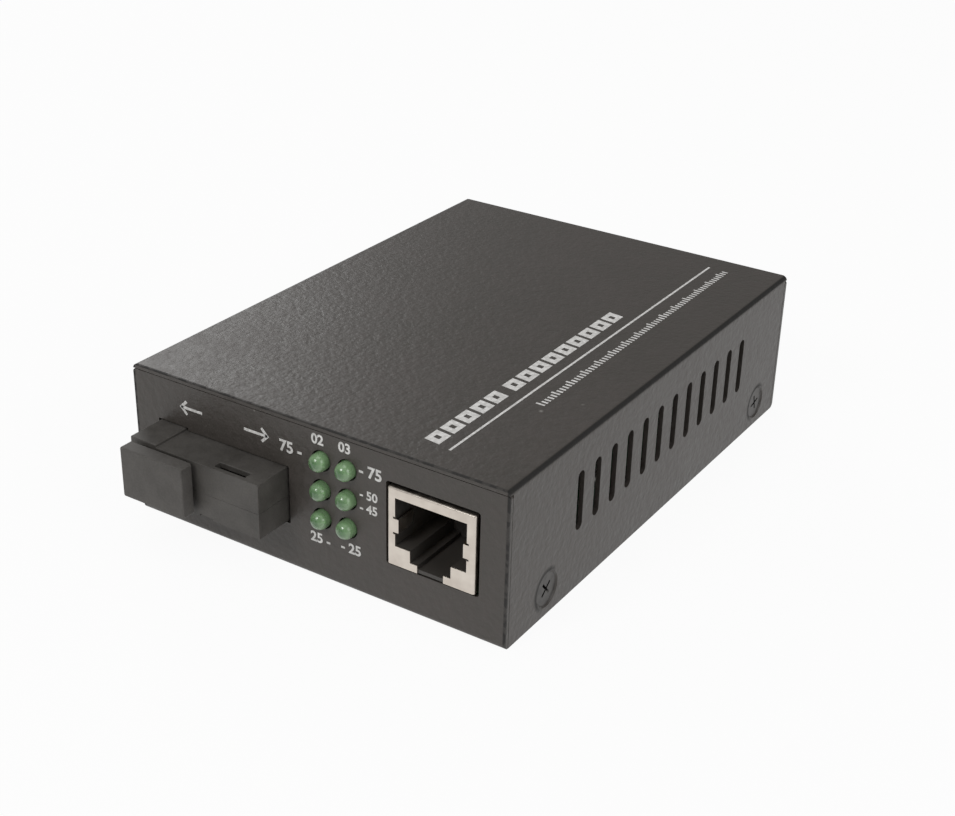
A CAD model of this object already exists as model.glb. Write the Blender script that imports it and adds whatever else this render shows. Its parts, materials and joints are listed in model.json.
import json
import math

import bmesh
import bpy
import numpy as np
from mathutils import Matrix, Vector


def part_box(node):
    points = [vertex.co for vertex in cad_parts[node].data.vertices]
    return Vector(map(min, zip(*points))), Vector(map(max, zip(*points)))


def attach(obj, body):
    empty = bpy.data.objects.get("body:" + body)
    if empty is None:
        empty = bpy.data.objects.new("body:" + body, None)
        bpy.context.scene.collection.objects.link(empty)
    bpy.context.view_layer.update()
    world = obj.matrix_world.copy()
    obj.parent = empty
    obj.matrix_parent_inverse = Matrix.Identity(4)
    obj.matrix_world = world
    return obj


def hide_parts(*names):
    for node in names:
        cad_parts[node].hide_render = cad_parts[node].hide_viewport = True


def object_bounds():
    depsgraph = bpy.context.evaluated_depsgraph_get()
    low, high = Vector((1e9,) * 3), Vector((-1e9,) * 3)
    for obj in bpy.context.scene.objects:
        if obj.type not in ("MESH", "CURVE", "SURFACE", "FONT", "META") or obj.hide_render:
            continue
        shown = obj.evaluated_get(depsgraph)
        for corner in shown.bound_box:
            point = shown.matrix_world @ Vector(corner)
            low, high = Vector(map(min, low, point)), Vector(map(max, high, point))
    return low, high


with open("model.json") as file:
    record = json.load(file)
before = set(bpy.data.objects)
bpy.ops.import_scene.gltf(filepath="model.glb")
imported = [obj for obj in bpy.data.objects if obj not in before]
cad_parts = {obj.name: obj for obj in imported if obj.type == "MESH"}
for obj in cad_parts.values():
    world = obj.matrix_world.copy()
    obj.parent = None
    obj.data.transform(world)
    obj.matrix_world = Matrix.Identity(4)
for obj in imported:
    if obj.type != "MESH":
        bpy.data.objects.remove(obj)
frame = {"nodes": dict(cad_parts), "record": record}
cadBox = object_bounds()
cadNodes = frame["nodes"]
mm = 0.001
print("stage 1: packed model loaded,", len(cadNodes), "nodes")


# Camera, floor, light.
view = {
    "turn": 32.303,       # degrees round the object from straight in front
    "rise": 27.174,
    "roll": 1.467,
    "distance": 273.523,  # mm from the aim point
    "aimHeight": 13.0,
    "slideRight": -0.694,
    "slideUp": -3.512,
    "lens": 59.56,
    "nearest": 0.01,      # m, nothing closer is drawn
}


def placeCamera(look):
    # Camera axes from the turn and rise angles, then turned about the line of sight.
    turn, rise, roll = (math.radians(look[k]) for k in ("turn", "rise", "roll"))
    back = Vector((math.sin(turn) * math.cos(rise), -math.cos(turn) * math.cos(rise), math.sin(rise)))
    right = (-back).cross(Vector((0, 0, 1))).normalized()
    up = right.cross(-back)
    rolledRight = math.cos(roll) * right + math.sin(roll) * up
    rolledUp = math.cos(roll) * up - math.sin(roll) * right
    place = Vector((0, 0, look["aimHeight"])) + back * look["distance"]
    place += rolledRight * look["slideRight"] + rolledUp * look["slideUp"]
    data = bpy.data.cameras.new("camera")
    data.lens = look["lens"]
    data.clip_start = look["nearest"]
    camera = bpy.data.objects.new("camera", data)
    for row in range(3):
        for column, axis in enumerate((rolledRight, rolledUp, back)):
            camera.matrix_world[row][column] = axis[row]
        camera.matrix_world[row][3] = place[row] * mm
    bpy.context.collection.objects.link(camera)
    bpy.context.scene.camera = camera


def newNode(tree, kind, links=None, **settings):
    # One shader node: settings are its own properties, links feed its inputs with values or sockets.
    node = tree.nodes.new(kind)
    for name, value in settings.items():
        setattr(node, name, value)
    for name, source in (links or {}).items():
        if isinstance(source, bpy.types.NodeSocket):
            tree.links.new(source, node.inputs[name])
        else:
            node.inputs[name].default_value = source
    return node


def calc(tree, operation, *values):
    # One Math node on values or sockets; gives its result's socket.
    return newNode(tree, "ShaderNodeMath", dict(enumerate(values)), operation=operation).outputs[0]


def vectorCalc(tree, operation, *values):
    # One Vector Math node; distances, lengths and dot products come out as a number.
    node = newNode(tree, "ShaderNodeVectorMath", dict(enumerate(values)), operation=operation)
    return node.outputs["Value" if operation in ("DISTANCE", "LENGTH", "DOT_PRODUCT") else "Vector"]


def mapped(tree, value, start, end, low=0.0, high=1.0, curve="LINEAR"):
    # A value going from start to end is taken from low to high, and held there outside.
    return newNode(tree, "ShaderNodeMapRange", {
        "Value": value, "From Min": start, "From Max": end, "To Min": low, "To Max": high},
        interpolation_type=curve).outputs[0]


def newMaterial(name):
    # An empty material and its node tree.
    material = bpy.data.materials.new(name)
    material.use_nodes = True
    material.node_tree.nodes.clear()
    return material, material.node_tree


stageLook = {
    "floorColour": (0.84, 0.84, 0.84, 1),
    "floorGlow": 0.94,        # how far the floor's white is its own, which keeps shadows pale
    "skyLight": 0.30,
    "floorSize": 3.0,
    "floorSunk": 0.05,        # mm under the tray, so that the two faces don't coincide
}


def placeFloor(look):
    # A square sheet that can be looked through from underneath, which shows the tray's bottom.
    half, low = look["floorSize"] / 2, -look["floorSunk"] * mm
    mesh = bpy.data.meshes.new("floor")
    mesh.from_pydata([(-half, -half, low), (half, -half, low), (half, half, low), (-half, half, low)], [],
                     [(0, 1, 2, 3)])
    floor = bpy.data.objects.new("floor", mesh)
    bpy.context.collection.objects.link(floor)
    material, tree = newMaterial("paleFloor")
    path = newNode(tree, "ShaderNodeLightPath")
    diffuse = newNode(tree, "ShaderNodeBsdfDiffuse", {"Color": look["floorColour"]})
    glow = newNode(tree, "ShaderNodeEmission", {"Color": (1, 1, 1, 1), "Strength": 1.0})
    seen = newNode(tree, "ShaderNodeMixShader", {
        0: look["floorGlow"], 1: diffuse.outputs[0], 2: glow.outputs[0]})
    direct = calc(tree, "MAXIMUM", path.outputs["Is Camera Ray"], path.outputs["Is Glossy Ray"])
    clear = calc(tree, "MAXIMUM", direct, path.outputs["Is Transmission Ray"])
    mixed = newNode(tree, "ShaderNodeMixShader", {0: clear, 1: diffuse.outputs[0], 2: seen.outputs[0]})
    under = newNode(tree, "ShaderNodeNewGeometry").outputs["Backfacing"]
    through = newNode(tree, "ShaderNodeBsdfTransparent")
    whole = newNode(tree, "ShaderNodeMixShader", {0: under, 1: mixed.outputs[0], 2: through.outputs[0]})
    newNode(tree, "ShaderNodeOutputMaterial", {"Surface": whole.outputs[0]})
    mesh.materials.append(material)


def placeWorld(look):
    # White where it is looked at, directly or through a lens, and a soft sky for everything else.
    world = bpy.data.worlds.new("paleRoom")
    world.use_nodes = True
    tree = world.node_tree
    tree.nodes.clear()
    path = newNode(tree, "ShaderNodeLightPath")
    direct = calc(tree, "MAXIMUM", path.outputs["Is Camera Ray"], path.outputs["Is Transmission Ray"])
    soft = newNode(tree, "ShaderNodeBackground", {"Color": (1, 1, 1, 1), "Strength": look["skyLight"]})
    white = newNode(tree, "ShaderNodeBackground", {"Color": (1, 1, 1, 1), "Strength": 1.0})
    mixed = newNode(tree, "ShaderNodeMixShader", {0: direct, 1: soft.outputs[0], 2: white.outputs[0]})
    newNode(tree, "ShaderNodeOutputWorld", {"Surface": mixed.outputs[0]})
    bpy.context.scene.world = world


# Each lamp: where it stands (m), how wide it is (m) and its power (W). All face one point (m).
lampAim = (0, 0, 0.012)
softLamps = {
    "keyRight": {"place": (0.82, -0.10, 0.44), "size": 0.55, "power": 1.9},
    "fillFront": {"place": (-0.16, -0.74, 0.64), "size": 0.28, "power": 2.7},
    "skimBackLeft": {"place": (-0.66, 0.47, 0.41), "size": 0.30, "power": 1.15},
    "overhead": {"place": (0.0, -0.1, 0.9), "size": 0.50, "power": 1.0},
}


def placeLamps(lamps, aim):
    # Square area lamps, turned so that their faces look at the aim point.
    for name, look in lamps.items():
        data = bpy.data.lights.new(name, "AREA")
        data.shape = "SQUARE"
        data.size = look["size"]
        data.energy = look["power"]
        lamp = bpy.data.objects.new(name, data)
        lamp.location = look["place"]
        lamp.rotation_euler = (Vector(aim) - lamp.location).to_track_quat("-Z", "Y").to_euler()
        bpy.context.collection.objects.link(lamp)


placeCamera(view)
placeWorld(stageLook)
placeFloor(stageLook)
placeLamps(softLamps, lampAim)
bpy.context.scene.view_settings.view_transform = "Standard"
print("stage 2: camera, floor and lamps placed")


# Shared effects.
def newGroup(name, inputs, outputs):
    # A shader node group with named sockets; returns the group and its two end nodes.
    group = bpy.data.node_groups.new(name, "ShaderNodeTree")
    for title, kind, value in inputs:
        socket = group.interface.new_socket(title, in_out="INPUT", socket_type=kind)
        if value is not None:
            socket.default_value = value
    for title, kind in outputs:
        group.interface.new_socket(title, in_out="OUTPUT", socket_type=kind)
    return group, newNode(group, "NodeGroupInput"), newNode(group, "NodeGroupOutput")


pebbleLook = {
    "coarser": 0.62,            # scale of the coarse noise, as a share of the fine one
    "toneSpan": (0.3, 0.7),     # noise values that give no patch and a full patch
    "speckSpan": (0.35, 0.7),
}


def grainGroup(look):
    # Pebbled skin of powder coat or a spark-eroded mould: the mean of two sizes of noise is the
    # height, the coarse one also makes specks, and a wide one makes light and dark patches.
    group, start, end = newGroup("pebbleGrain", [
        ("Vector", "NodeSocketVector", None),
        ("Fineness", "NodeSocketFloat", 1800.0),
        ("Patches", "NodeSocketFloat", 60.0),
    ], [("Height", "NodeSocketFloat"), ("Tone", "NodeSocketFloat"), ("Speck", "NodeSocketFloat")])
    place = start.outputs["Vector"]
    fine = newNode(group, "ShaderNodeTexNoise", {
        "Vector": place, "Scale": start.outputs["Fineness"], "Detail": 2.0, "Roughness": 0.55})
    coarse = newNode(group, "ShaderNodeTexNoise", {
        "Vector": place, "Scale": calc(group, "MULTIPLY", start.outputs["Fineness"], look["coarser"]),
        "Detail": 1.0, "Roughness": 0.4})
    patches = newNode(group, "ShaderNodeTexNoise", {
        "Vector": place, "Scale": start.outputs["Patches"], "Detail": 3.0, "Roughness": 0.6})
    both = calc(group, "ADD", fine.outputs["Fac"], coarse.outputs["Fac"])
    group.links.new(calc(group, "MULTIPLY", both, 0.5), end.inputs["Height"])
    group.links.new(mapped(group, patches.outputs["Fac"], *look["toneSpan"]), end.inputs["Tone"])
    group.links.new(mapped(group, coarse.outputs["Fac"], *look["speckSpan"]), end.inputs["Speck"])
    return group


rolledLook = {"cloudSpan": (0.3, 0.7)}      # noise values that give no tarnish and full tarnish


def rolledGroup(look):
    # Fine parallel lines left by rolling or drawing metal, from noise on stretched coordinates,
    # with soft tarnish clouds.
    group, start, end = newGroup("rolledLines", [
        ("Vector", "NodeSocketVector", None),
        ("Stretch", "NodeSocketVector", (60.0, 60.0, 4000.0)),
        ("Clouds", "NodeSocketFloat", 250.0),
    ], [("Height", "NodeSocketFloat"), ("Tone", "NodeSocketFloat")])
    place = start.outputs["Vector"]
    lines = newNode(group, "ShaderNodeTexNoise", {
        "Vector": vectorCalc(group, "MULTIPLY", place, start.outputs["Stretch"]),
        "Scale": 1.0, "Detail": 3.0, "Roughness": 0.6})
    clouds = newNode(group, "ShaderNodeTexNoise", {
        "Vector": place, "Scale": start.outputs["Clouds"], "Detail": 2.0})
    group.links.new(lines.outputs["Fac"], end.inputs["Height"])
    group.links.new(mapped(group, clouds.outputs["Fac"], *look["cloudSpan"]), end.inputs["Tone"])
    return group


pebbleGrain = grainGroup(pebbleLook)
rolledLines = rolledGroup(rolledLook)


def grouped(tree, group, links):
    # A shared effect placed in a material.
    return newNode(tree, "ShaderNodeGroup", links, node_tree=group)


def pebbled(tree, place, look):
    # The pebbled grain at a finish's own fineness and patch size.
    return grouped(tree, pebbleGrain, {
        "Vector": place, "Fineness": look["fineness"], "Patches": look["patches"]})


def patchMask(tree, grain, share):
    # Wide patches and fine specks added up, by the share of the patches.
    patches = calc(tree, "MULTIPLY", grain.outputs["Tone"], share)
    return calc(tree, "MULTIPLY_ADD", grain.outputs["Speck"], 1 - share, patches)


def between(tree, amount, low, high):
    # Colour between two colours or sockets, by a 0 to 1 mask.
    ends = [end if isinstance(end, bpy.types.NodeSocket) else (*end, 1) for end in (low, high)]
    return newNode(tree, "ShaderNodeMix", {0: amount, 6: ends[0], 7: ends[1]}, data_type="RGBA").outputs[2]


def ranged(tree, amount, span):
    # A 0 to 1 mask taken from one end of a span to the other.
    return mapped(tree, amount, 0.0, 1.0, *span)


def bumped(tree, height, depth):
    # Surface direction from a height, with the depth in metres.
    return newNode(tree, "ShaderNodeBump", {
        "Height": height, "Distance": depth, "Strength": 1.0}).outputs[0]


def shaded(tree, **sockets):
    # The Principled shader with its sockets, joined to the output.
    named = {key.replace("_", " "): value for key, value in sockets.items()}
    shader = newNode(tree, "ShaderNodeBsdfPrincipled", named)
    newNode(tree, "ShaderNodeOutputMaterial", {"Surface": shader.outputs[0]})


def objectPlace(tree):
    # Place on the object in metres, the same for every piece.
    return newNode(tree, "ShaderNodeTexCoord").outputs["Object"]


# Materials.
def grainedFinish(name, look):
    # Painted or moulded surface: pebbled bump, patches of tone and roughness.
    material, tree = newMaterial(name)
    grain = pebbled(tree, objectPlace(tree), look)
    mask = patchMask(tree, grain, look["patchShare"])
    shaded(tree,
           Base_Color=between(tree, mask, look["dark"], look["light"]),
           Roughness=ranged(tree, mask, look["rough"]),
           Normal=bumped(tree, grain.outputs["Height"], look["depth"]))
    return material


coatMarks = {
    "foldDark": (0.009, 0.008, 0.007),
    "foldRough": 0.70,
    "foldSpan": (0.77, 0.59),       # mm inside the box's corner where a fold's dark line starts, is full
    "scuffPale": (0.30, 0.29, 0.27),
    # x, y from the front edge, z (0 is the top) and radius of each pale scuff, mm
    "scuffs": [
        (26.05, 23.1, 0.0, 0.50),
        (30.7, 27.3, 0.0, 0.60),
        (30.1, 28.6, 0.0, 0.40),
        (-10.3, 0.0, -1.1, 0.20),
    ],
    "dimpleRing": 3.30,             # mm, radius of the dark crease round each side screw
    "dimpleWide": 1.3,              # and how wide it is
    "dimpleTowards": (-0.8, 0.6, 0.0),      # it is dark on the side nearer the front and the top,
    "dimpleSpan": (-0.3, 0.5),              # and fades out between these shares of the head's radius
    # How far inside the side, the top and the front a dark cut edge starts and is full, mm.
    "cutEdges": {"X": (0.50, 0.35), "Z": (0.35, 0.20), "Y": (0.40, 0.20)},
    "cutSpecks": (0.25, 0.60),      # of the grain, where the coat covers a cut edge and leaves it bare
    "cutDark": (0.55, 0.95),        # how dark the edge is there
}


def foldLines(tree, side, up, marks):
    # Dark along the folds, where |x| + z comes near the box's corner.
    reach = cadBox[1][0] + cadBox[1][2]
    start, full = (reach - inside * mm for inside in marks["foldSpan"])
    return mapped(tree, calc(tree, "ADD", side, up), start, full, curve="SMOOTHSTEP")


def scuffMarks(tree, place, marks):
    # Round spots, each 1 in its middle and 0 from its radius on.
    frontTop = (0.0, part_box("base_tray")[0].y, cadBox[1][2])
    scuffed = 0.0
    for *offset, radius in marks["scuffs"]:
        middle = tuple(start + step * mm for start, step in zip(frontTop, offset))
        spot = mapped(tree, vectorCalc(tree, "DISTANCE", place, middle), 0.0, radius * mm, 1.0, 0.0)
        scuffed = calc(tree, "MAXIMUM", spot, scuffed)
    return scuffed


def dimpleCreases(tree, axes, dark, marks):
    # Ring round each side screw, 1 - |distance - radius| / half its width, on one side of the screw.
    low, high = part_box("cover_screws")
    headRadius = (high.z - low.z) / 2
    start, full = (share * headRadius for share in marks["dimpleSpan"])
    onSide = newNode(tree, "ShaderNodeCombineXYZ", {
        "X": axes.outputs["Y"], "Y": axes.outputs["Z"]}).outputs[0]
    for y in (low.y + headRadius, high.y - headRadius):
        middle = (y, low.z + headRadius, 0)
        off = calc(tree, "SUBTRACT", vectorCalc(tree, "DISTANCE", onSide, middle), marks["dimpleRing"] * mm)
        crease = mapped(tree, calc(tree, "ABSOLUTE", off), 0.0, marks["dimpleWide"] * mm / 2, 1.0, 0.0)
        offset = vectorCalc(tree, "SUBTRACT", onSide, middle)
        shade = mapped(tree, vectorCalc(tree, "DOT_PRODUCT", offset, marks["dimpleTowards"]), start, full)
        dark = calc(tree, "MAXIMUM", dark, calc(tree, "MULTIPLY", crease, shade))
    return dark


def cutEdgeLines(tree, side, axes, speck, marks):
    # Cut edges of the cover where it meets the front: dark, and broken where the coat still covers them.
    ahead = calc(tree, "MULTIPLY", axes.outputs["Y"], -1.0)
    ends = {
        "X": (side, cadBox[1][0]),
        "Z": (axes.outputs["Z"], cadBox[1][2]),
        "Y": (ahead, -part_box("base_tray")[0].y),
    }
    rims = {}
    for axis, (place, end) in ends.items():
        start, full = (end - inside * mm for inside in marks["cutEdges"][axis])
        rims[axis] = mapped(tree, place, start, full)
    cut = calc(tree, "MULTIPLY", calc(tree, "MAXIMUM", rims["X"], rims["Z"]), rims["Y"])
    return calc(tree, "MULTIPLY", cut, mapped(tree, speck, *marks["cutSpecks"], *marks["cutDark"]))


def coatFinish(name, look, marks):
    # Powder coat on folded sheet: pebbled, thin and dark along the folds, scuffed here and there.
    material, tree = newMaterial(name)
    place = objectPlace(tree)
    axes = newNode(tree, "ShaderNodeSeparateXYZ", {"Vector": place})
    side = calc(tree, "ABSOLUTE", axes.outputs["X"])
    grain = pebbled(tree, place, look)
    speck = grain.outputs["Speck"]
    mask = patchMask(tree, grain, look["patchShare"])
    dark = foldLines(tree, side, axes.outputs["Z"], marks)
    dark = dimpleCreases(tree, axes, dark, marks)
    dark = calc(tree, "MAXIMUM", dark, cutEdgeLines(tree, side, axes, speck, marks))
    worn = calc(tree, "MULTIPLY", scuffMarks(tree, place, marks), speck)
    folded = between(tree, dark, between(tree, mask, look["dark"], look["light"]), marks["foldDark"])
    rough = ranged(tree, mask, look["rough"])
    shaded(tree,
           Base_Color=between(tree, worn, folded, marks["scuffPale"]),
           Roughness=newNode(tree, "ShaderNodeMix", {0: dark, 2: rough, 3: marks["foldRough"]}).outputs[0],
           Normal=bumped(tree, grain.outputs["Height"], look["depth"]))
    return material


def metalFinish(name, look):
    # Bare or plated metal: rolled lines in the bump, tarnish clouds in colour and roughness.
    material, tree = newMaterial(name)
    lines = grouped(tree, rolledLines, {
        "Vector": objectPlace(tree), "Stretch": look["stretch"], "Clouds": look["clouds"]})
    shaded(tree,
           Base_Color=between(tree, lines.outputs["Tone"], look["dark"], look["light"]),
           Roughness=ranged(tree, lines.outputs["Tone"], look["rough"]),
           Normal=bumped(tree, lines.outputs["Height"], look["depth"]),
           Metallic=1.0)
    return material


coatLook = {"dark": (0.053, 0.047, 0.040), "light": (0.067, 0.057, 0.051), "rough": (0.38, 0.48),
            "fineness": 1250.0, "patches": 55.0, "patchShare": 0.5, "depth": 0.00015}
grainedLooks = {
    "module_moulding": {"dark": (0.048, 0.044, 0.039), "light": (0.101, 0.094, 0.086), "rough": (0.50, 0.62),
                        "fineness": 5200.0, "patches": 190.0, "patchShare": 0.75, "depth": 0.00001},
    "cap_moulding": {"dark": (0.052, 0.047, 0.042), "light": (0.110, 0.103, 0.095), "rough": (0.54, 0.66),
                     "fineness": 4600.0, "patches": 170.0, "patchShare": 0.75, "depth": 0.00001},
    "black_moulding": {"dark": (0.050, 0.045, 0.040), "light": (0.062, 0.056, 0.051), "rough": (0.42, 0.54),
                       "fineness": 5200.0, "patches": 220.0, "patchShare": 0.6, "depth": 0.00001},
    "chip_black": {"dark": (0.010, 0.010, 0.011), "light": (0.022, 0.022, 0.023), "rough": (0.52, 0.66),
                   "fineness": 7000.0, "patches": 300.0, "patchShare": 0.5, "depth": 0.00001},
    "capacitor_sleeve": {"dark": (0.008, 0.009, 0.020), "light": (0.014, 0.016, 0.034),
                         "rough": (0.22, 0.32), "fineness": 3000.0, "patches": 260.0,
                         "patchShare": 0.8, "depth": 0.000006},
    "ferrite_grey": {"dark": (0.020, 0.020, 0.021), "light": (0.050, 0.050, 0.052), "rough": (0.62, 0.80),
                     "fineness": 6000.0, "patches": 400.0, "patchShare": 0.4, "depth": 0.00003},
    "chip_ceramic": {"dark": (0.26, 0.19, 0.13), "light": (0.40, 0.31, 0.22), "rough": (0.36, 0.50),
                     "fineness": 9000.0, "patches": 900.0, "patchShare": 0.6, "depth": 0.000005},
    "ceramic_white": {"dark": (0.66, 0.64, 0.59), "light": (0.80, 0.78, 0.74), "rough": (0.16, 0.26),
                      "fineness": 8000.0, "patches": 400.0, "patchShare": 0.7, "depth": 0.000004},
}
metalLooks = {
    "nickel_shield": {"dark": (0.58, 0.52, 0.46), "light": (0.72, 0.66, 0.59), "rough": (0.30, 0.42),
                      "stretch": (120.0, 120.0, 5200.0), "clouds": 420.0, "depth": 0.000004},
    "zinc_steel": {"dark": (0.60, 0.60, 0.58), "light": (0.80, 0.79, 0.75), "rough": (0.26, 0.40),
                   "stretch": (900.0, 900.0, 900.0), "clouds": 700.0, "depth": 0.000004},
    "gold_contact": {"dark": (0.72, 0.49, 0.18), "light": (0.88, 0.65, 0.28), "rough": (0.18, 0.30),
                     "stretch": (1500.0, 200.0, 200.0), "clouds": 900.0, "depth": 0.000002},
    "tinned_wire": {"dark": (0.58, 0.57, 0.54), "light": (0.78, 0.77, 0.74), "rough": (0.28, 0.42),
                    "stretch": (500.0, 500.0, 500.0), "clouds": 900.0, "depth": 0.000003},
    "bright_metal": {"dark": (0.70, 0.70, 0.69), "light": (0.86, 0.85, 0.83), "rough": (0.12, 0.24),
                     "stretch": (300.0, 300.0, 4000.0), "clouds": 500.0, "depth": 0.000002},
    "black_screw": {"dark": (0.050, 0.047, 0.045), "light": (0.12, 0.115, 0.11), "rough": (0.34, 0.50),
                    "stretch": (1800.0, 1800.0, 1800.0), "clouds": 900.0, "depth": 0.000008},
}


boardLook = {
    "low": (0.006, 0.045, 0.018),
    "raised": (0.012, 0.095, 0.036),
    "rough": (0.22, 0.34),
    "coat": 0.4,
    "depth": 0.00002,
    "tracks": {"Scale": 160.0, "Mortar Size": 0.045, "Mortar Smooth": 0.2, "Brick Width": 1.9,
               "Row Height": 0.21},
    "trackSteps": {"offset": 0.37, "offset_frequency": 3, "squash": 1.7, "squash_frequency": 4},
    "fineness": 9000.0,
    "patches": 90.0,
    "pourFrom": 0.45,       # patch tone from which the copper is a filled area
}


def boardFinish(name, look):
    # Solder mask over copper: bands of tracks show as slightly raised, lighter lines.
    material, tree = newMaterial(name)
    place = objectPlace(tree)
    colours = {"Color1": (0, 0, 0, 1), "Color2": (0, 0, 0, 1), "Mortar": (1, 1, 1, 1)}
    tracks = newNode(tree, "ShaderNodeTexBrick", {"Vector": place, **look["tracks"], **colours},
                     **look["trackSteps"])
    grain = pebbled(tree, place, look)
    pour = calc(tree, "GREATER_THAN", grain.outputs["Tone"], look["pourFrom"])
    raised = calc(tree, "MAXIMUM", tracks.outputs["Color"], pour)
    shaded(tree,
           Base_Color=between(tree, raised, look["low"], look["raised"]),
           Roughness=ranged(tree, grain.outputs["Tone"], look["rough"]),
           Normal=bumped(tree, raised, look["depth"]),
           Coat_Weight=look["coat"])
    return material


lensLook = {
    "deep": (0.07, 0.19, 0.06),     # along the axis of the lens
    "pale": (0.25, 0.43, 0.21),     # round its rim
    "paleSpan": (0.25, 1.35),       # mm from the axis where the pale starts and is full
    "milk": 0.80,                   # how much of the light is scattered back rather than let through
    "rough": (0.24, 0.32),
    "skinRough": 0.13,              # of the clear skin
    "bending": 1.5,                 # refractive index
    "fineness": 1400.0,
    "patches": 420.0,
}


def lensFinish(name, look):
    # Milky green epoxy under a clear skin. The six lenses stand in rows and columns, so the distance
    # from a lens's axis is found by wrapping x and z at the pitch of the rows and columns.
    material, tree = newMaterial(name)
    place = objectPlace(tree)
    first, beside, above = (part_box(n) for n in ("lamp_bottom_left", "lamp_bottom_right", "lamp_middle_left"))
    axes = newNode(tree, "ShaderNodeSeparateXYZ", {"Vector": place})
    away = []
    for axis, pitch in ((0, beside[0].x - first[0].x), (2, above[0].z - first[0].z)):
        centre = (first[0][axis] + first[1][axis]) / 2
        wrapped = calc(tree, "WRAP", axes.outputs["XYZ"[axis]], centre + pitch / 2, centre - pitch / 2)
        away.append(calc(tree, "SUBTRACT", wrapped, centre))
    flat = newNode(tree, "ShaderNodeCombineXYZ", {"X": away[0], "Y": away[1]}).outputs[0]
    start, full = (distance * mm for distance in look["paleSpan"])
    rim = mapped(tree, vectorCalc(tree, "LENGTH", flat), start, full, curve="SMOOTHSTEP")
    grain = pebbled(tree, place, look)
    shaded(tree,
           Base_Color=between(tree, rim, look["deep"], look["pale"]),
           Roughness=ranged(tree, grain.outputs["Tone"], look["rough"]),
           Transmission_Weight=1 - look["milk"],
           Coat_Weight=1.0,
           Coat_Roughness=look["skinRough"],
           IOR=look["bending"])
    return material


inkLook = {"thin": (0.62, 0.61, 0.59), "full": (0.84, 0.83, 0.81), "rough": (0.42, 0.56),
           "fineness": 2600.0, "patches": 300.0, "depth": 0.00003}


def inkFinish(name, look):
    # Screen-printed white: a little uneven where the coat's grain shows through.
    material, tree = newMaterial(name)
    grain = pebbled(tree, objectPlace(tree), look)
    shaded(tree,
           Base_Color=between(tree, grain.outputs["Speck"], look["thin"], look["full"]),
           Roughness=ranged(tree, grain.outputs["Tone"], look["rough"]),
           Normal=bumped(tree, grain.outputs["Height"], look["depth"]))
    return material


finishes = {name: grainedFinish(name, look) for name, look in grainedLooks.items()}
finishes.update({name: metalFinish(name, look) for name, look in metalLooks.items()})
finishes["black_powder_coat"] = coatFinish("black_powder_coat", coatLook, coatMarks)
finishes["board_green"] = boardFinish("board_green", boardLook)
finishes["green_lens"] = lensFinish("green_lens", lensLook)
finishes["white_ink"] = inkFinish("white_ink", inkLook)

slotOfNode = {part["node"]: part["material_slot"] for part in frame["record"]["subparts"]}
lensNodes = [node for node in cadNodes if slotOfNode[node] == "green_lens"]
print("stage 3: finishes made,", len(finishes))


# Helpers for pieces.
def keepPiece(piece, slotName, body="chassis"):
    # Puts a finished piece on its body and gives it its finish.
    piece.data.materials.clear()
    piece.data.materials.append(finishes[slotName])
    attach(piece, body)


newMesh = {
    "mergeWithin": 1e-7,    # m
    "sharpFrom": 35,        # degrees between faces at an edge that isn't shaded smooth
}


def newPiece(name, points, faces, slotName):
    # A mesh from points in metres and faces, with doubles merged and faces turned outwards.
    mesh = bpy.data.meshes.new(name)
    corners = [tuple(int(i) for i in face) for face in faces]
    mesh.from_pydata([tuple(point) for point in np.asarray(points, float)], [], corners)
    work = bmesh.new()
    work.from_mesh(mesh)
    bmesh.ops.remove_doubles(work, verts=work.verts, dist=newMesh["mergeWithin"])
    bmesh.ops.recalc_face_normals(work, faces=work.faces)
    work.to_mesh(mesh)
    work.free()
    mesh.shade_smooth()
    mesh.set_sharp_from_angle(angle=math.radians(newMesh["sharpFrom"]))
    piece = bpy.data.objects.new(name, mesh)
    bpy.context.collection.objects.link(piece)
    keepPiece(piece, slotName)


def gridFaces(rows, columns):
    # Quads between neighbouring points of a grid, whose last column joins the first.
    row = np.arange(rows - 1)[:, None] * columns
    column = np.arange(columns)[None, :]
    after = (column + 1) % columns
    quads = np.stack([row + column, row + after, row + columns + after, row + columns + column], axis=-1)
    return quads.reshape(-1, 4)


# Softened pressings and mouldings.
# Width of the rounded edge on each CAD piece that shows, in mm. Edges at the seam height of the
# optical module's two shells are kept nearly sharp, so that they close to a fine line.
seamEdges = {"share": 0.2, "reach": 0.04}       # share of the width kept, mm from the seam's height
softening = {
    "mergeWithin": 2e-6,    # m
    "flatWithin": 0.6,      # degrees between faces that are one flat face
    "sharpFrom": 40,        # degrees between faces at an edge that is rounded
    "segments": 2,
}
edgeWidths = {
    "top_cover": 0.16,
    "base_tray": 0.16,
    "optic_upper_shell": 0.16,
    "optic_lower_shell": 0.16,
    "dust_cap": 0.20,
    "network_jack_shield": 0.11,
    "network_jack_housing": 0.10,
    "power_inlet_body": 0.18,
    "magnetics_module": 0.15,
    "converter_chip": 0.10,
    **{node: 0.04 for node in lensNodes},
}


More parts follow.
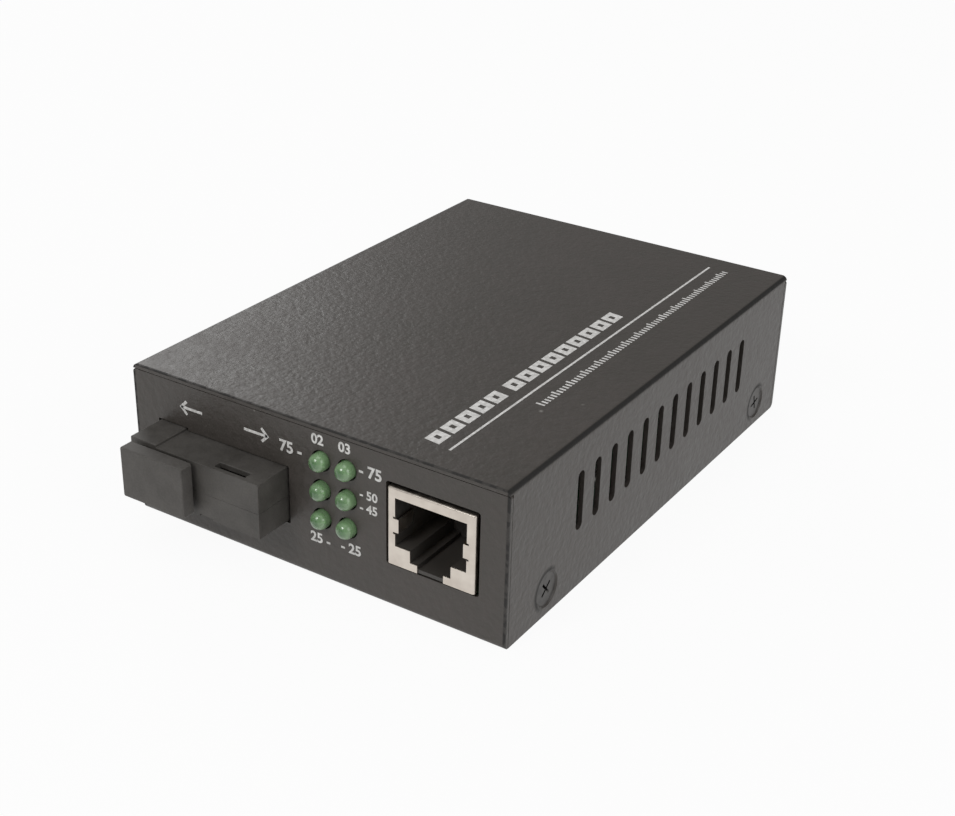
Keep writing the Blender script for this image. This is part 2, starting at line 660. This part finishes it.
def softenedCopy(node, width, seamHeight, seam, look):
    # The CAD mesh merged into whole faces, with its sharp edges rounded by the Bevel modifier.
    mesh = cadNodes[node].data.copy()
    for layer in ("custom_normal", "sharp_edge", "sharp_face"):
        if layer in mesh.attributes:
            mesh.attributes.remove(mesh.attributes[layer])
    work = bmesh.new()
    work.from_mesh(mesh)
    bmesh.ops.remove_doubles(work, verts=work.verts, dist=look["mergeWithin"])
    bmesh.ops.dissolve_limit(work, angle_limit=math.radians(look["flatWithin"]), verts=work.verts,
                             edges=work.edges)
    weights = []
    for edge in work.edges:
        sharp = len(edge.link_faces) == 2 and edge.calc_face_angle(0) > math.radians(look["sharpFrom"])
        atSeam = all(abs(vert.co.z - seamHeight) < seam["reach"] * mm for vert in edge.verts)
        weights.append((seam["share"] if atSeam else 1.0) if sharp else 0.0)
    work.to_mesh(mesh)
    work.free()
    mesh.shade_smooth()
    layer = mesh.attributes.get("bevel_weight_edge")
    layer = layer or mesh.attributes.new("bevel_weight_edge", "FLOAT", "EDGE")
    layer.data.foreach_set("value", weights)
    piece = bpy.data.objects.new(node + "_soft", mesh)
    bpy.context.collection.objects.link(piece)
    bevel = piece.modifiers.new("softEdges", "BEVEL")
    bevel.width = width * mm
    bevel.segments = look["segments"]
    bevel.limit_method = "WEIGHT"
    bevel.miter_outer = "MITER_SHARP"
    bevel.use_clamp_overlap = True
    bevel.harden_normals = True
    keepPiece(piece, slotOfNode[node], body="dust_cap" if node == "dust_cap" else "chassis")
    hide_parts(node)


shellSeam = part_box("optic_lower_shell")[1].z
for node, width in edgeWidths.items():
    softenedCopy(node, width, shellSeam, seamEdges, softening)
for node, obj in cadNodes.items():
    obj.data.materials.clear()
    obj.data.materials.append(finishes[slotOfNode[node]])
print("stage 4: softened copies made,", len(edgeWidths))


# Inside the indicator lamps.
lampCore = {
    "cupRadius": 0.62,      # mm, rim of the reflector cup
    "cupDepth": 0.42,
    "cupBack": 1.75,        # rim of the cup behind the tip of the lens
    "cupLip": 1.12,         # outer radius of the cup, as a share of its rim
    "cupWaist": 1.2,        # depths where the cup's outside ends and its neck is reached,
    "cupNeck": 1.5,         # as shares of the cup's depth
    "postRadius": 0.24,
    "cupAside": 0.22,       # of the lens's axis
    "postAside": -0.72,
    "postsEnd": 0.4,        # ahead of the back of the lens
    "bowlSteps": 6,
    "columns": 24,
}


def turned(profile, centre, columns):
    # Surface of revolution about Y: each (radius, depth) of the profile is swept round a full
    # circle, x = cx + r cos a, y = cy + depth, z = cz + r sin a.
    radius, depth = np.array(profile, float).T
    angle = np.linspace(0, 2 * math.pi, columns, endpoint=False)
    points = np.empty((len(radius), columns, 3))
    points[..., 0] = centre[0] + radius[:, None] * np.cos(angle)
    points[..., 1] = centre[1] + depth[:, None]
    points[..., 2] = centre[2] + radius[:, None] * np.sin(angle)
    return points.reshape(-1, 3), gridFaces(len(radius), columns)


def lampCores(look):
    # Reflector cup on its post, and the second post beside it, in every lens. The bowl of the cup
    # is a parabola: its radius grows with the square root of the height over its bottom.
    cupRadius, cupDepth, postRadius = (look[k] * mm for k in ("cupRadius", "cupDepth", "postRadius"))
    points, faces, count = [], [], 0
    for node in sorted(lensNodes):
        low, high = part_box(node)
        x, z = (low.x + high.x) / 2, (low.z + high.z) / 2
        rim = low.y + look["cupBack"] * mm
        length = high.y - look["postsEnd"] * mm - rim
        share = np.linspace(0, 1, look["bowlSteps"])
        bowl = [(cupRadius * math.sqrt(t), cupDepth * (1 - t)) for t in share]
        lip = cupRadius * look["cupLip"]
        cup = bowl + [(lip, 0), (lip, cupDepth * look["cupWaist"]), (postRadius, cupDepth * look["cupNeck"]),
                      (postRadius, length), (0, length)]
        post = [(0, 0), (postRadius, 0), (postRadius, length), (0, length)]
        for profile, aside in ((cup, look["cupAside"]), (post, look["postAside"])):
            pts, quads = turned(profile, (x + aside * mm, rim, z), look["columns"])
            faces.append(quads + count)
            points.append(pts)
            count += len(pts)
    newPiece("lamp_reflectors", np.concatenate(points), np.concatenate(faces), "bright_metal")


lampCores(lampCore)
print("stage 5: lamp reflectors made")


# White print.
printLook = {
    "thickness": 0.02,      # mm of ink above the coat
    "sunk": 0.01,
    "lineAcross": 21.6,     # centre of the rule line, from the middle of the top
    "lineWidth": 0.40,
    "lineFrom": 5.05,       # along the top, from its front edge
    "lineTo": 90.4,
    "blockAcross": 18.0,
    "blockHeight": 2.8,
    "blockPitch": 3.93,
    "blockWidth": 3.2,
    "blockFrom": 5.6,
    "blockWords": (5, 9),
    "wordGap": 1.35,
    "lean": 0.35,
    "stroke": 0.85,         # across the top; the strokes along it are a little wider
    "upright": 1.15,
    "scaleAcross": 24.75,
    "scaleFrom": 24.8,
    "scaleTo": 90.0,
    "tallTick": 1.55,
    "shortTick": 1.1,
    "tallEvery": 5,
    "tickPitch": 0.9,
    "tickWidth": 0.40,
}


def carried(outline, onto, look):
    # A flat outline carried from just under the coat to the top of the ink: a plate with straight sides.
    outline = np.asarray(outline, float)
    count = len(outline)
    low = onto(outline, -look["sunk"])
    high = onto(outline, look["thickness"])
    ring = np.arange(count)
    after = (ring + 1) % count
    sides = [tuple(q) for q in np.stack([ring, after, after + count, ring + count], axis=1)]
    return np.concatenate([low, high]), sides + [tuple(ring[::-1]), tuple(ring + count)]


def gather(plates):
    # Several plates as one point list and one face list.
    points, faces, start = [], [], 0
    for plate, quads in plates:
        points.append(plate)
        faces += [tuple(int(i) + start for i in quad) for quad in quads]
        start += len(plate)
    return np.concatenate(points), faces


topHeight = cadBox[1][2] / mm
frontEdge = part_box("base_tray")[0].y / mm


def ontoTop(flat, lift):
    # Print coordinates are (along from the front edge, across from the middle), in mm.
    return np.stack([flat[:, 1], frontEdge + flat[:, 0], np.full(len(flat), topHeight + lift)], axis=1) * mm


def ontoFront(flat, lift):
    # Print coordinates are (across, height), in mm.
    return np.stack([flat[:, 0], np.full(len(flat), frontEdge - lift), flat[:, 1]], axis=1) * mm


def bar(left, right, low, high, lean=0.0):
    # A four-cornered outline whose upper side is shifted by the lean.
    return [(left, low), (right, low), (right + lean, high), (left + lean, high)]


def slottedBlock(left, look):
    # Outlines of the four strokes round a slanted block's slot. Across the top the block goes from
    # its foot to its head, and the lean grows evenly on the way.
    foot = look["blockAcross"] + look["blockHeight"] / 2
    head = look["blockAcross"] - look["blockHeight"] / 2
    right = left + look["blockWidth"]
    lean, stroke, upright = look["lean"], look["stroke"], look["upright"]
    slotLean = lean * (look["blockHeight"] - 2 * stroke) / look["blockHeight"]
    step = lean * stroke / look["blockHeight"]
    outlines = [bar(left, right, foot, foot - stroke, step),
                bar(left + lean - step, right + lean - step, head + stroke, head, step)]
    for side in (left + step, right + step - upright):
        outlines.append(bar(side, side + upright, foot - stroke, head + stroke, slotLean))
    return outlines


def topPrint(look):
    # A rule line, slanted blocks that read from the right-hand side, and a fine scale.
    half = look["lineWidth"] / 2
    outlines = [bar(look["lineFrom"], look["lineTo"], look["lineAcross"] - half, look["lineAcross"] + half)]
    along = look["blockFrom"]
    for count in look["blockWords"]:
        for _ in range(count):
            outlines += slottedBlock(along, look)
            along += look["blockPitch"]
        along += look["wordGap"]
    foot = look["scaleAcross"] + look["tallTick"] / 2
    places = np.arange(look["scaleFrom"], look["scaleTo"] + 0.01, look["tickPitch"])    # with its last tick
    for index, place in enumerate(places):
        reach = look["tallTick"] if index % look["tallEvery"] == 0 else look["shortTick"]
        outlines.append(bar(place, place + look["tickWidth"], foot, foot - reach))
    newPiece("top_print", *gather([carried(outline, ontoTop, look) for outline in outlines]), "white_ink")


frontPrint = {
    # left end, right end and height of each arrow on the front, mm, and whether it points right
    "arrows": [(-25.5, -20.9, 21.7, False), (-12.5, -7.6, 21.7, True)],
    "arrowHalf": 1.3,       # half the height of an arrow's head
    "shaftHalf": 0.23,      # half the shaft's width
    "shaftShort": 0.3,      # how far the shaft ends before the tip
    "headStroke": 0.33,
    # number, left end, foot and height in mm on the front
    "numbers": [
        ("02", 0.5, 23.4, 1.75),
        ("03", 5.5, 23.5, 1.75),
        ("75 -", -5.6, 20.15, 2.05),
        ("- 75", 9.2, 20.7, 2.0),
        ("- 50", 9.3, 16.95, 1.55),
        ("- 45", 9.3, 14.7, 1.55),
        ("25 -", -0.1, 6.35, 1.8),
        ("- 25", 5.7, 6.6, 1.8),
    ],
    "bold": 0.030,
    "curveSteps": 4,
}


def arrow(left, right, middle, pointsRight, look):
    # Shaft and open head, drawn as one outline each; the lower half of the head mirrors the upper.
    tip, tail = (right, left) if pointsRight else (left, right)
    way = 1 if pointsRight else -1
    half, thin, stroke = look["arrowHalf"], look["shaftHalf"], look["headStroke"]
    end = tip - way * look["shaftShort"]
    shaft = [(tail, middle - thin), (end, middle - thin), (end, middle + thin), (tail, middle + thin)]
    upper = [(tip, middle), (tip - way * half, middle + half),
             (tip - way * (half + stroke), middle + half - stroke), (tip - way * 2 * stroke, middle)]
    lower = [(x, 2 * middle - z) for x, z in upper]
    return [shaft, upper, lower]


def numberMesh(text, height, look):
    # A flat text made into a mesh, scaled so that its digits are as tall as asked.
    curve = bpy.data.curves.new("number", "FONT")
    curve.body = text
    curve.resolution_u = look["curveSteps"]
    curve.offset = look["bold"]
    obj = bpy.data.objects.new("number", curve)
    bpy.context.collection.objects.link(obj)
    bpy.context.view_layer.update()
    mesh = bpy.data.meshes.new_from_object(obj.evaluated_get(bpy.context.evaluated_depsgraph_get()))
    points = np.empty(len(mesh.vertices) * 3)
    mesh.vertices.foreach_get("co", points)
    flat = points.reshape(-1, 3)[:, :2]
    faces = [tuple(p.vertices) for p in mesh.polygons]
    bpy.data.objects.remove(obj)
    scale = height / (flat[:, 1].max() - flat[:, 1].min())
    return (flat - flat.min(0)) * scale, faces


def frontMarks(look, ink):
    # Arrows over the optical module and numbers beside the lamps.
    plates = []
    for *place, pointsRight in look["arrows"]:
        plates += [carried(outline, ontoFront, ink) for outline in arrow(*place, pointsRight, look)]
    for text, left, foot, height in look["numbers"]:
        flat, faces = numberMesh(text, height, look)
        plates.append((ontoFront(flat + (left, foot), ink["thickness"]), faces))
    newPiece("front_print", *gather(plates), "white_ink")


topPrint(printLook)
frontMarks(frontPrint, printLook)
print("stage 6: print laid on the top and the front")
